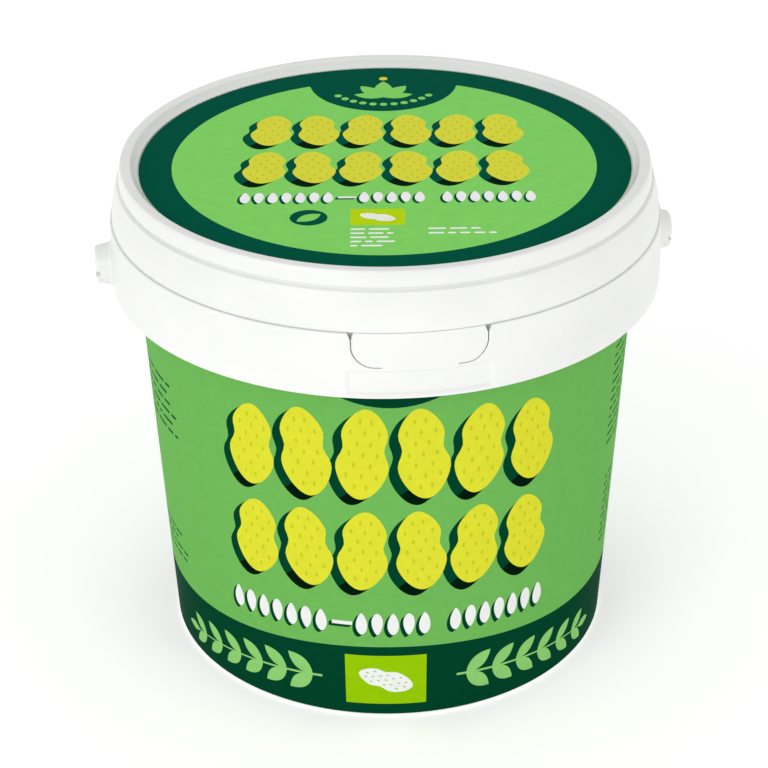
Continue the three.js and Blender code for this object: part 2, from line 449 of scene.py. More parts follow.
def pail_profile():
    foot_outer = wall_radius(FOOT_ROUND) - FOOT_ROUND
    foot_inner = foot_outer - FOOT_RING_WIDTH
    foot = corner(foot_outer, FOOT_ROUND, FOOT_ROUND, -90, 0)
    web_fillet = WEB_BOTTOM - WEB_FILLET
    web_round = WEB_BOTTOM - WEB_ROUND
    inside = COLLAR_RADIUS - COLLAR_WALL
    inner_lip = COLLAR_BOTTOM + COLLAR_INNER_ROUND
    edge = COLLAR_RADIUS - COLLAR_TUCK
    lip = (edge - COLLAR_ROUND, COLLAR_BOTTOM + COLLAR_ROUND)
    tuck = (COLLAR_RADIUS, COLLAR_BOTTOM + COLLAR_TUCK_HEIGHT)
    top = (COLLAR_RADIUS - COLLAR_DRAFT - COLLAR_TOP_ROUND, COLLAR_TOP - COLLAR_TOP_ROUND)
    return [
        *along((0.0, BASE_RECESS), (foot_inner - BASE_RECESS / 2, BASE_RECESS), 6),
        *corner(foot_inner + FOOT_RING_ROUND, FOOT_RING_ROUND, FOOT_RING_ROUND, 200, 270, 3),
        *foot,
        *rise(foot[-1], (wall_radius(web_fillet), web_fillet), 24),
        *corner(wall_radius(WEB_BOTTOM) + WEB_FILLET, web_fillet, WEB_FILLET, 180, 90, 4),
        *corner(inside - WEB_ROUND, web_round, WEB_ROUND, 90, 0, 3),
        *rise((inside, web_round), (inside, inner_lip), 3),
        *corner(inside + COLLAR_INNER_ROUND, inner_lip, COLLAR_INNER_ROUND, 180, 270, 3),
        *corner(*lip, COLLAR_ROUND, -90, 0, 4),
        *rise((edge, lip[1]), tuck, 17),
        *rise(tuck, (COLLAR_RADIUS - COLLAR_DRAFT, top[1]), 56),
        *corner(*top, COLLAR_TOP_ROUND, 0, 90, 5)[1:],
        (NECK_RADIUS + SHELF_STEP, COLLAR_TOP),
        (NECK_RADIUS, COLLAR_TOP),
        (NECK_RADIUS, NECK_TOP),
        (0.0, NECK_TOP),
    ]


def pail_angles():
    """Fine steps across the flap, coarse ones elsewhere."""
    middle = FRONT + FLAP_TURN
    half = FLAP_HALF_ANGLE + FINE_MARGIN
    rest = 360.0 - 2 * half
    fine_count = round(2 * half / FINE_STEP)
    coarse_count = round(rest / COARSE_STEP)
    angles = [middle - half + 2 * half * i / fine_count for i in range(fine_count)]
    angles += [middle + half + rest * i / coarse_count for i in range(coarse_count)]
    return angles


def lug(angle):
    """A round lug with a fillet at its foot and a level slot across its face."""
    bm = bmesh.new()
    start = COLLAR_RADIUS - COLLAR_WALL / 2
    root = COLLAR_RADIUS - COLLAR_DRAFT / 2
    flare = (LUG_ROOT_RADIUS - LUG_RADIUS, LUG_ROOT_REACH - root)
    turned(bm, [
        (0.0, start),
        (LUG_ROOT_RADIUS, start),
        *arc(LUG_ROOT_RADIUS, LUG_ROOT_REACH, *flare, -90, -180, 6),
        *corner(LUG_FACE_RADIUS - LUG_ROUND, LUG_REACH - LUG_ROUND, LUG_ROUND, 0, 90, 6),
        (0.0, LUG_REACH),
    ], even_angles(LUG_STEPS))
    lie = Matrix.Rotation(math.radians(90.0), 4, "Y")
    bmesh.ops.transform(bm, matrix=lie, verts=bm.verts)
    boss = finish_mesh(bm, "lug_boss")

    bm = bmesh.new()
    size = (2 * LUG_SLOT_DEPTH, 3 * LUG_RADIUS, LUG_SLOT_HEIGHT)
    bmesh.ops.create_cube(bm, size=1.0, matrix=Matrix.Diagonal((*[s * MM for s in size], 1.0)))
    bmesh.ops.translate(bm, vec=(LUG_REACH * MM, 0.0, -LUG_SLOT_DROP * MM), verts=bm.verts)
    long_edges = [e for e in bm.edges if abs(e.verts[0].co.y - e.verts[1].co.y) > MM]
    bmesh.ops.bevel(bm, geom=long_edges, offset=LUG_SLOT_EDGE * MM, segments=3, affect="EDGES")
    joined_or_cut(boss, finish_mesh(bm, "lug_slot"), "DIFFERENCE")
    place = Matrix.Rotation(math.radians(angle), 4, "Z") @ Matrix.Translation((0, 0, LUG_HEIGHT * MM))
    boss.data.transform(place)
    return boss


def slit_cutter(side):
    """A prism along one of the flap's slits, with a V mouth at its top, on side +1 or -1."""
    half, mouth = SLIT_WIDTH / 2, NOTCH_WIDTH / 2
    line, turn_u, turn_z = slit_corner()
    outline = [
        (line + mouth, COLLAR_TOP + CUT_MARGIN),
        (line + mouth, COLLAR_TOP),
        (line + half, COLLAR_TOP - NOTCH_DEPTH),
        *corner(turn_u, turn_z, FLAP_CORNER + half, 0, -90, 16),
        *corner(turn_u - SLIT_FOOT, FLAP_BOTTOM, half, -90, -270, 6),
        *corner(turn_u, turn_z, FLAP_CORNER - half, -90, 0, 16),
        (line - half, COLLAR_TOP - NOTCH_DEPTH),
        (line - mouth, COLLAR_TOP),
        (line - mouth, COLLAR_TOP + CUT_MARGIN),
    ]
    bm = bmesh.new()
    walls = []
    for y in (-SLIT_END, -COLLAR_RADIUS - 2 * CUT_MARGIN):
        walls.append([bm.verts.new((side * u * MM, y * MM, z * MM)) for u, z in outline])
    bm.faces.new(walls[0])
    bm.faces.new(walls[1][::-1])
    for i in range(len(outline)):
        j = (i + 1) % len(outline)
        bm.faces.new((walls[0][j], walls[0][i], walls[1][i], walls[1][j]))
    bmesh.ops.transform(bm, matrix=Matrix.Rotation(math.radians(FLAP_TURN), 4, "Z"), verts=bm.verts)
    return finish_mesh(bm, "slit_cutter")


def make_pail(material):
    bm = bmesh.new()
    turned(bm, pail_profile(), pail_angles(), collar_face)
    piece = finish_mesh(bm, "pail_moulding")
    for side in (-1, 1):
        joined_or_cut(piece, slit_cutter(side), "DIFFERENCE")
    for angle in (LUG_TURN, LUG_TURN + 180.0):
        joined_or_cut(piece, lug(angle), "UNION")
    bm = bmesh.new()
    bm.from_mesh(piece.data)
    bpy.data.objects.remove(piece)
    piece = finish_mesh(bm, "pail_moulding")
    piece.data.materials.clear()
    piece.data.materials.append(material)
    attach(piece, "root")
    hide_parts("pail")


# Lid


def lid_profile():
    inside = NECK_RADIUS + LID_GAP
    underside = NECK_TOP + LID_GAP
    foot = SKIRT_BOTTOM + SKIRT_EDGE
    shoulder = SKIRT_TOP - SKIRT_TOP_ROUND
    skirt = []
    for i in range(SKIRT_STEPS + 1):
        t = i / SKIRT_STEPS
        radius = SKIRT_BOTTOM_RADIUS + (SKIRT_TOP_RADIUS - SKIRT_BOTTOM_RADIUS) * t * t
        skirt.append((radius, foot + (shoulder - foot) * t))
    fillet_r, fillet_z = PANEL_FILLET_PLACE
    return [
        (0.0, underside),
        (inside, underside),
        (inside, SKIRT_BOTTOM + 2 * (SKIRT_MOUTH - inside)),
        (SKIRT_MOUTH, SKIRT_BOTTOM),
        *corner(SKIRT_BOTTOM_RADIUS - SKIRT_EDGE, foot, SKIRT_EDGE, -90, 0, 4)[:-1],
        *skirt,
        *corner(SKIRT_TOP_RADIUS - SKIRT_TOP_ROUND, shoulder, SKIRT_TOP_ROUND, 10, 75, 4),
        (GROOVE_RADIUS + GROOVE_ROUND, GROOVE_BOTTOM),
        (GROOVE_RADIUS, GROOVE_BOTTOM + GROOVE_HALF_HEIGHT),
        (GROOVE_RADIUS + GROOVE_ROUND, GROOVE_BOTTOM + 2 * GROOVE_HALF_HEIGHT),
        *arc(CREST_OUTER, BEAD_BOTTOM, BEAD_RADIUS - CREST_OUTER, HEIGHT - BEAD_BOTTOM, 4, 90, 22),
        *corner(CREST_INNER, HEIGHT - CREST_ROUND, CREST_ROUND, 90, 165, 5),
        *corner(PANEL_RADIUS + fillet_r, PANEL_TOP + fillet_z, PANEL_FILLET, 190, 262, 4),
        (PANEL_RADIUS - PANEL_EDGE_STRIP, PANEL_TOP),
        (PANEL_RADIUS / 2, PANEL_TOP),
        (0.0, PANEL_TOP),
    ]


def make_lid(material):
    bm = bmesh.new()
    turned(bm, lid_profile(), even_angles(LID_STEPS))
    piece = finish_mesh(bm, "lid_moulding")
    piece.data.materials.append(material)
    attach(piece, "root")
    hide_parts("lid")


# Print: flat outlines, later ones over earlier ones

LEAF_FULLNESS = 0.85
SEED_FULLNESS = 0.55
SEED_FOOT = 1.18
SEED_TAPER = 0.42
POD_FULLNESS = 0.52
POD_WAIST = 0.27  # how much narrower the waist is
POD_WAIST_PLACE = 0.56
POD_WAIST_SPREAD = 0.13
POD_FOOT = 1.03
POD_TAPER = 0.09
DIMPLE_ROWS = 7
DIMPLE_FIRST = 0.14
DIMPLE_SPAN = 0.72
DIMPLE_SPREAD = 1.25
DIMPLE_SIZE = (0.055, 0.062)
POD_TILT = 5.0
POD_WIDTH = 0.97  # share of the pitch along a row
POD_ROW_ENDS = 0.86
UNDERSIDE_SLOPE = 0.75
SEED_WIDTH = 0.74
DASH_LENGTH = 1.3
DASH_HEIGHT = 0.16
DASH_SHIFT = 0.35
DASH_ROOM = 0.6
STEM_HALF = 0.34
STEM_TAPER = 0.55
STEM_STEPS = 24
TWIG_LEAF = 8.6
TWIG_LEAF_TAPER = 0.25
TWIG_LEAF_WIDTH = 0.46
TWIG_LEAF_START = 0.35
TWIG_LEAF_TURN = 40
TWIG_TIP = (6.0, 2.4)
LINE_DASHES = (0.7, 2.3)  # shortest and longest, as shares of the pitch
LINE_GAP = 0.36
LINE_ROUND = 0.3
LINE_LEAST = 1.0


class Artwork:
    """A list of flat outlines with their inks, over a ground outline that bounds them all."""

    def __init__(self, ground, colour):
        self.outlines = [ground]
        self.colours = [colour]

    def add(self, outline, colour):
        if area(outline) < 0:
            outline = outline[::-1]
        self.outlines.append(outline)
        self.colours.append(colour)


def area(outline):
    """Signed area, positive where the outline runs anticlockwise."""
    return sum(a[0] * b[1] - b[0] * a[1] for a, b in zip(outline, outline[1:] + outline[:1])) / 2


def placed(outline, x, y, turn=0.0):
    c, s = math.cos(math.radians(turn)), math.sin(math.radians(turn))
    return [(x + c * u - s * v, y + s * u + c * v) for u, v in outline]


def ellipse(width, height, steps=24):
    turns = [2 * math.pi * i / steps for i in range(steps)]
    return [(width / 2 * math.cos(t), height / 2 * math.sin(t)) for t in turns]


def rectangle(width, height, round_by=0.0, steps=4):
    """A rectangle about the origin, with round corners where round_by is over 0."""
    w, h = width / 2 - round_by, height / 2 - round_by
    if round_by <= 0:
        return [(-w, -h), (w, -h), (w, h), (-w, h)]
    points = []
    for x, y, start in ((w, -h, -90), (w, h, 0), (-w, h, 90), (-w, -h, 180)):
        points += corner(x, y, round_by, start, start + 90, steps)
    return points


def leaf(length, width, steps=9):
    """A pointed leaf from the origin along +X."""
    upper = []
    for i in range(steps + 1):
        rounding = math.sin(math.pi * i / steps) ** LEAF_FULLNESS
        upper.append((length * i / steps, width / 2 * rounding))
    return upper[::-1] + [(x, -y) for x, y in upper[1:-1]]


def upright(half_width, height, steps):
    """A closed outline from its half width at t, which runs from 0 at its foot to 1 at its top."""
    right = []
    for i in range(steps + 1):
        t = (1.0 - math.cos(math.pi * i / steps)) / 2
        right.append((half_width(t), height * (t - 0.5)))
    left = [(-x, y) for x, y in right[1:-1]]
    return right + left[::-1]


def seed_half_width(t):
    """Half width of a seed beside its full one, for t from 0 at its foot to 1 at its top."""
    return math.sin(math.pi * t) ** SEED_FULLNESS * (SEED_FOOT - SEED_TAPER * t)


def seed_shape(width, height):
    """An upright drop, broad at its foot and narrow but blunt at its top."""
    return upright(lambda t: width / 2 * seed_half_width(t), height, 12)


def pod_half_width(t):
    """Half width of a whole nut in its shell, for t from 0 at its foot to 1 at its top."""
    body = math.sin(math.pi * t) ** POD_FULLNESS
    waist = 1.0 - POD_WAIST * math.exp(-(((t - POD_WAIST_PLACE) / POD_WAIST_SPREAD) ** 2))
    return 0.5 * body * waist * (POD_FOOT - POD_TAPER * t)


def pod(width, height):
    """Outline of an upright nut shell about its middle."""
    return upright(lambda t: width * pod_half_width(t), height, 26)


def pod_dimples(width, height):
    """Short dashes in staggered columns inside a nut shell."""
    marks = []
    for row in range(DIMPLE_ROWS):
        t = DIMPLE_FIRST + DIMPLE_SPAN * row / (DIMPLE_ROWS - 1)
        columns = (-0.5, 0.0, 0.5) if row % 2 else (-0.25, 0.25)
        for column in columns:
            x = column * DIMPLE_SPREAD * width * pod_half_width(t)
            dash = ellipse(width * DIMPLE_SIZE[0], height * DIMPLE_SIZE[1], 8)
            marks.append(placed(dash, x, height * (t - 0.5)))
    return marks


def add_raised(art, outline, drop, side, under):
    """The two visible flanks of a raised flat block, drawn out along drop."""
    flanks = []
    for (ax, ay), (bx, by) in zip(outline, outline[1:] + outline[:1]):
        nx, ny = by - ay, ax - bx
        if nx * drop[0] + ny * drop[1] > 1e-6:
            facing_down = ny < 0 and abs(ny) > UNDERSIDE_SLOPE * abs(nx)
            flank = [(ax, ay), (bx, by), (bx + drop[0], by + drop[1]), (ax + drop[0], ay + drop[1])]
            flanks.append((facing_down, flank))
    for facing_down, flank in sorted(flanks, key=lambda f: -f[0]):
        art.add(flank, under if facing_down else side)


def add_pod(art, x, y, size, turn, face, dull):
    """One nut shell with its dimples."""
    art.add(placed(pod(*size), x, y, turn), face)
    for mark in pod_dimples(*size):
        art.add(placed(mark, x, y, turn), dull)


def add_pod_row(art, centre, half_width, feet, tops, face, dull, drop, side, under):
    """A row of six raised nut shells between two height functions of the place across."""
    count = 6
    pitch = 2 * half_width / (count - 1 + POD_ROW_ENDS)
    shells = []
    for i in range(count):
        across = (i - (count - 1) / 2) * pitch
        low, high = feet(across), tops(across)
        turn = POD_TILT if i % 2 else -POD_TILT
        size = (pitch * POD_WIDTH, high - low)
        shells.append((centre + across, (low + high) / 2, size, turn))
    for x, y, size, turn in shells:
        add_raised(art, placed(pod(*size), x, y, turn), drop, side, under)
    for shell in shells:
        add_pod(art, *shell, face, dull)


def add_seed_row(art, start, end, y, height, drop, face, side):
    """Upright seeds in three groups, with a level dash between the first two groups."""
    groups = (7, 5, 7)
    units = sum(groups) + len(groups) + DASH_ROOM
    pitch = (end - start) / units
    x = start + pitch / 2
    for k, count in enumerate(groups):
        for i in range(count):
            seed = seed_shape(pitch * SEED_WIDTH, height)
            shape = placed(seed, x, y, 180.0 * (i % 2))
            add_raised(art, shape, drop, side, side)
            art.add(shape, face)
            x += pitch
        if k == 0:
            dash = placed(rectangle(pitch * DASH_LENGTH, height * DASH_HEIGHT), x + pitch * DASH_SHIFT, y)
            add_raised(art, dash, drop, side, side)
            art.add(dash, face)
            x += pitch * (1.0 + DASH_ROOM)
        else:
            x += pitch


def add_twig(art, start, end, height_at, colour, leaves):
    """A stem with paired leaves, from start to end across."""
    direction = 1 if end > start else -1
    length = abs(end - start)
    upper, lower = [], []
    for i in range(STEM_STEPS + 1):
        x = start + direction * length * i / STEM_STEPS
        y = height_at(x)
        half = STEM_HALF * (1.0 - STEM_TAPER * i / STEM_STEPS)
        upper.append((x, y + half))
        lower.append((x, y - half))
    art.add(upper + lower[::-1], colour)
    for i in range(leaves):
        t = (i + TWIG_LEAF_START) / leaves
        x = start + direction * length * t
        size = TWIG_LEAF * (1.0 - TWIG_LEAF_TAPER * t)
        for side in (-1, 1):
            blade = leaf(size, size * TWIG_LEAF_WIDTH)
            turn = side * TWIG_LEAF_TURN if direction > 0 else 180 - side * TWIG_LEAF_TURN
            art.add(placed(blade, x, height_at(x), turn), colour)
    art.add(placed(leaf(*TWIG_TIP), end - direction, height_at(end), 0 if direction > 0 else 180), colour)


def add_lines(art, left, top, width, rows, pitch, thickness, colour, rng, ragged=0.35):
    """Rows of short plain dashes."""
    for row in range(rows):
        x, end = left, left + width * (1.0 - ragged * rng.random())
        y = top - pitch * (row + 0.5)
        while x < end - LINE_LEAST:
            length = min(end - x, pitch * rng.uniform(*LINE_DASHES))
            dash = rectangle(length, thickness, thickness * LINE_ROUND, 1)
            art.add(placed(dash, x + length / 2, y), colour)
            x += length + pitch * LINE_GAP


# Partition of the artwork into one sheet of triangles, one ink each


def split_wide(outline, step):
    """The outline with points added so that no edge runs further than step across."""
    points = []
    for a, b in zip(outline, outline[1:] + outline[:1]):
        count = max(1, math.ceil(abs(b[0] - a[0]) / step))
        points += along(a, b, count)[:-1]
    return points


def partition(art, grid, step):
    """Vertices and (triangle, ink) pairs that cover the ground, cut along every outline."""
    points, faces, lookup = [], [], {}

    def index(x, y):
        key = (round(x, 4), round(y, 4))
        if key not in lookup:
            lookup[key] = len(points)
            points.append(Vector(key))
        return lookup[key]

    for outline in art.outlines:
        ids = []
        for x, y in split_wide(outline, step):
            i = index(x, y)
            if not ids or ids[-1] != i:
                ids.append(i)
        if ids[0] == ids[-1]:
            ids.pop()
        faces.append(ids)
    for x, y in grid:
        index(x, y)
    out = delaunay_2d_cdt(points, [], faces, 0, 1e-5, True)
    verts, triangles, sources = out[0], out[2], out[5]
    pairs = []
    for triangle, source in zip(triangles, sources):
        if 0 in source:
            pairs.append((triangle, art.colours[max(source)]))
    return verts, pairs


def film_piece(name, verts, pairs, place, normal_at, materials, under):
    """A closed film: the printed sheet, its copy one film thickness below, and the edges between them."""
    used = sorted({i for triangle, _ in pairs for i in triangle})
    new_id = {old: new for new, old in enumerate(used)}
    count = len(used)
    outer = [place(verts[i], 0.0) for i in used]
    inner = [place(verts[i], FILM) for i in used]
    merged, keep = {}, {}
    step = MM * 0.001
    for i, point in enumerate(outer):
        key = tuple(round(c / step) for c in point)
        keep[i] = merged.setdefault(key, i)
    faces, slots, normals, edges = [], [], [], {}
    names = sorted({colour for _, colour in pairs})
    for triangle, colour in pairs:
        ids = [keep[new_id[i]] for i in triangle]
        if len(set(ids)) < 3:
            continue
        faces.append(ids)
        slots.append(names.index(colour))
        normals += [normal_at(outer[i]) for i in ids]
        for a, b in zip(ids, ids[1:] + ids[:1]):
            edges[(a, b)] = colour
    for ids in list(faces):
        faces.append([i + count for i in ids[::-1]])
        slots.append(names.index(under))
        normals += [-normal_at(outer[i]) for i in ids[::-1]]
    for a, b in edges:
        if (b, a) not in edges:
            faces.append([b, a, a + count, b + count])
            slots.append(names.index(under))
            side = (outer[a] - outer[b]).cross(inner[a] - outer[a]).normalized()
            normals += [side] * 4
    mesh = bpy.data.meshes.new(name)
    mesh.from_pydata(outer + inner, [], faces)
    mesh.polygons.foreach_set("material_index", slots)
    for colour in names:
        mesh.materials.append(materials[colour])
    mesh.polygons.foreach_set("use_smooth", [True] * len(faces))
    mesh.normals_split_custom_set(normals)
    mesh.update()
    bm = bmesh.new()
    bm.from_mesh(mesh)
    loose = [v for v in bm.verts if not v.link_faces]
    bmesh.ops.delete(bm, geom=loose, context="VERTS")
    bm.to_mesh(mesh)
    bm.free()
    piece = bpy.data.objects.new(name, mesh)
    bpy.context.scene.collection.objects.link(piece)
    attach(piece, "root")
    return piece


# Film round the wall: x is the length round from the print's middle, y the height

SPREAD = math.radians(1.0) * 57.6  # length for each degree round, at the film's mid height
HALF_TURN = 180.0 * SPREAD
BODY_DROP = (-2.05, -1.7)
BODY_STEP = 1.6
BODY_GRID = (180, 31)
SEAM_WIDTH = 0.5

BAND_TOP = 20.4
BAND_WAVE = 1.2
BAND_WAVES = 3
BAND_STEPS = 120

# Half disc under the collar
HANGING_SIZE = 52.0
HANGING_LOW = 89.4
HANGING_TURN = 0.8

# Front: for each row of nut shells its middle, then its foot and its top, each with its drop at the ends
ROW_HALF = 39.0 * SPREAD
BODY_ROWS = ((1.2, 64.4, 1.2, 89.2, 4.6), (0.8, 38.4, 0.3, 61.0, 2.2))
BODY_SEEDS = (-41.5 * SPREAD, 45.0 * SPREAD, 28.4, 6.4)
BODY_SEED_DROP = (-0.85, -0.75)
LIME_PLACE = (-0.9 * SPREAD, 11.5)
LIME_SIZE = (20.2 * SPREAD, 14.8)
LIME_SHELL = (6.6, 14.0)
SHELL_TURN = 72.0
TWIG_TURNS = (17.0, 60.0)
TWIG_HEIGHT = 11.6
TWIG_SAG = 4.6
TWIG_SAG_TURN = 64.0
TWIG_LEAVES = 6

# Blocks of dashes at the sides: left edge and width in degrees, top, rows, pitch, thickness, raggedness
SIDE_PRINT = (
    (-82.0, 24.0, 79.4, 6, 2.7, 0.7, 0.16),
    (-82.0, 22.0, 34.6, 4, 2.3, 0.6, 0.35),
    (66.0, 18.0, 88.6, 13, 2.45, 0.6, 0.35),
    (68.4, 15.0, 48.0, 9, 2.35, 0.6, 0.35),
)

# Pale panels on the tub's back: each box has its width, its height and how far its corners are rounded
PANEL_TURN = 136.0
PANEL_HEIGHT = 56.0
PANEL_SIZE = (52.0 * SPREAD, 56.0, 3.0)
BAR_HALF = 22.0 * SPREAD
TITLE_BAR = (44.0 * SPREAD, 3.4, 1.0)
TITLE_HEIGHT = 78.0
RULES = 8
RULE_TOP = 72.0
RULE_PITCH = 5.4
RULE_SIZE = (44.0 * SPREAD, 0.5)
ENTRY_DROP = 2.7
ENTRY_HEIGHT = 1.1
ENTRY_ROUND = 0.3
ENTRY_INSET = 1.0
ENTRY_LENGTHS = (14.0, 10.0)  # the shortest, and what is added at random
FIGURE_LENGTH = 6.0
FIGURE_PLACE = 17.0 * SPREAD
BACK_LINES = (74.0, 44.0 * SPREAD, 10, 2.4, 0.7)
WHITE_BOX = (20.0 * SPREAD, 15.0, 1.0)
WHITE_BOX_PLACE = 11.0 * SPREAD
BACK_SHELL = (6.6, 13.0)
BACK_SHELL_PLACES = ((5.0, 8.0), (15.0, -8.0))  # degrees round from the panel's middle, and tilt
BACK_ROW_HEIGHT = 40.0
BACK_LEAF = (7.6, 3.2)
BACK_LEAF_PITCH = 13.0
BACK_LEAF_HEIGHT = 8.2
BACK_LEAF_TURNS = (54, 126)


def band_top(x):
    """Height of the dark band's edge, which rises a little in the middle of each of three stretches."""
    return BAND_TOP + BAND_WAVE * math.cos(BAND_WAVES * x / SPREAD * math.pi / 180.0)


def body_artwork():
    low, high = film_lo.z, film_hi.z
    art = Artwork([(-HALF_TURN, low), (HALF_TURN, low), (HALF_TURN, high), (-HALF_TURN, high)], "green")
    rng = random.Random(5)
    places = [-HALF_TURN + 2 * HALF_TURN * i / BAND_STEPS for i in range(BAND_STEPS + 1)]
    edge = [(x, band_top(x)) for x in places]
    art.add([(-HALF_TURN, low), (HALF_TURN, low)] + edge[::-1], "dark_green")
    disc = ellipse(HANGING_SIZE, HANGING_SIZE, 96)
    art.add(placed(disc, HANGING_TURN * SPREAD, HANGING_LOW + HANGING_SIZE / 2), "dark_green")
    add_front(art)
    for left, width, top, *rows, ragged in SIDE_PRINT:
        add_lines(art, left * SPREAD, top, width * SPREAD, *rows, "dark_green", rng, ragged)
    add_back(art, rng)
    seam = -HALF_TURN + SEAM_WIDTH
    art.add([(-HALF_TURN, low), (seam, low), (seam, high), (-HALF_TURN, high)], "seam_white")
    return art


def bend(x):
    """0 in the middle of a row and 1 at its ends."""
    return (x / ROW_HALF) ** 2


def twig_height(x):
    return TWIG_HEIGHT - TWIG_SAG * (abs(x) / (TWIG_SAG_TURN * SPREAD)) ** 2


def add_front(art):
    """Two rows of raised nut shells, a row of seeds, twigs on the band and a lime field."""
    for turn, foot, foot_drop, top, top_drop in BODY_ROWS:
        add_pod_row(art, turn * SPREAD, ROW_HALF, lambda x: foot - foot_drop * bend(x),
                    lambda x: top - top_drop * bend(x), "yellow", "dull_yellow",
                    BODY_DROP, "dark_green", "shade_green")
    add_seed_row(art, *BODY_SEEDS, BODY_SEED_DROP, "white", "dark_green")
    art.add(placed(rectangle(*LIME_SIZE), *LIME_PLACE), "lime")
    add_pod(art, *LIME_PLACE, LIME_SHELL, SHELL_TURN, "white", "lime")
    for side in (-1, 1):
        start, end = [side * turn * SPREAD for turn in TWIG_TURNS]
        add_twig(art, start, end, twig_height, "band_green", TWIG_LEAVES)


def add_table(art, x, rng):
    """Rules with a bar and a short bar between each two."""
    for row in range(RULES):
        art.add(placed(rectangle(*RULE_SIZE), x, RULE_TOP - RULE_PITCH * row), "dark_green")
        if row < RULES - 1:
            y = RULE_TOP - ENTRY_DROP - RULE_PITCH * row
            length = ENTRY_LENGTHS[0] + ENTRY_LENGTHS[1] * rng.random()
            middle = x - BAR_HALF + length / 2 + ENTRY_INSET
            art.add(placed(rectangle(length, ENTRY_HEIGHT, ENTRY_ROUND, 2), middle, y), "dark_green")
            figure = rectangle(FIGURE_LENGTH, ENTRY_HEIGHT, ENTRY_ROUND, 2)
            art.add(placed(figure, x + FIGURE_PLACE, y), "dark_green")


def add_notes(art, x, rng):
    """Rows of dashes over a white box and two nut shells."""
    add_lines(art, x - BAR_HALF, *BACK_LINES, "dark_green", rng)
    art.add(placed(rectangle(*WHITE_BOX), x - WHITE_BOX_PLACE, BACK_ROW_HEIGHT), "white")
    for place, turn in BACK_SHELL_PLACES:
        art.add(placed(pod(*BACK_SHELL), x + place * SPREAD, BACK_ROW_HEIGHT, turn), "dark_green")


def add_back(art, rng):
    """Two pale panels, one with a plain table and one with rows of bars, and leaves on the band."""
    for side, add_inside in ((-1, add_table), (1, add_notes)):
        x = side * PANEL_TURN * SPREAD
        art.add(placed(rectangle(*PANEL_SIZE), x, PANEL_HEIGHT), "panel_green")
        art.add(placed(rectangle(*TITLE_BAR), x, TITLE_HEIGHT), "dark_green")
        add_inside(art, x, rng)
        for k in range(-2, 3):
            for turn in BACK_LEAF_TURNS:
                blade = leaf(*BACK_LEAF)
                art.add(placed(blade, x + k * BACK_LEAF_PITCH, BACK_LEAF_HEIGHT, turn), "band_green")


def body_grid():
    columns, rows = BODY_GRID
    low, high = film_lo.z, film_hi.z
    return [(-HALF_TURN + 2 * HALF_TURN * i / columns, low + (high - low) * j / rows)
            for i in range(columns + 1) for j in range(rows + 1)]


def on_wall(point, inward):
    angle = math.radians(FRONT) + math.radians(point.x / SPREAD)
    r = wall_radius(point.y) + FILM_GAP + FILM - inward
    return Vector((r * math.cos(angle), r * math.sin(angle), point.y)) * MM


def wall_normal(point):
    out = Vector((point.x, point.y, 0.0)).normalized()
    return (out - Vector((0.0, 0.0, WALL_TAPER))).normalized()


def make_body_film(materials):
    verts, pairs = partition(body_artwork(), body_grid(), BODY_STEP)
    piece = film_piece("body_film", verts, pairs, on_wall, wall_normal, materials, "green")
    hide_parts("body_label")


# Film on the lid: x and y as seen from above

LID_FILM_RADIUS = disc_hi.x
LID_FIELD_RADIUS = 50.3
LID_FIELD_MIDDLE = (-0.2, -0.4)
LID_RINGS = 12
LID_STEP = 10.0
LID_DROP = (-1.9, -2.2)

# For each row of nut shells its middle, half width, foot and top
LID_ROWS = ((0.6, 32.8, 9.2, 27.4), (0.2, 33.4, -12.6, 5.4))
LID_SEEDS = (-33.9, 38.2, -20.6, 5.6)
LID_SEED_DROP = (-0.6, -0.7)
SPOT_SIZE = (8.6, 8.2)
SPOT_PLACE = (-17.4, -31.3)
SPOT_LEAF = (6.6, 3.4)
SPOT_LEAF_PLACE = (-20.1, -33.2, 35.0)
LID_LIME_SIZE = (12.3, 8.4)
LID_LIME_PLACE = (-1.8, -31.2)
LID_LIME_SHELL = (3.8, 8.4)

# Blocks of dashes: left edge, top, width, rows, pitch, thickness
LID_LINES = (-7.9, -36.4, 11.5, 5, 2.1, 0.75)
LID_LINES_RIGHT = (9.5, -36.2, 15.6, 2, 2.3, 0.75)
LID_LINES_RIGHT_RAGGED = 0.15

# Half disc that hangs from the border, with its sprig
CROWN_RADIUS = 18.7
CROWN_MIDDLE = (-0.2, 48.6)
CROWN_FILLET = 0.45
CROWN_OVERLAP = 1.0
CROWN_TIP = 1.5
FILLET_STEPS = 12
DOT_SIZE = 1.9
DOT_REACH = 14.3
DOT_PITCH = 10.6
SPRIG_FOOT = 38.9
SPRIG_LEAVES = ((90, 10.4), (52, 9.4), (128, 9.4), (14, 7.6), (166, 7.6))
SPRIG_LEAF_WIDTH = 0.44
SPRIG_DOT_SIZE = 2.2
SPRIG_DOT_PLACE = 51.2


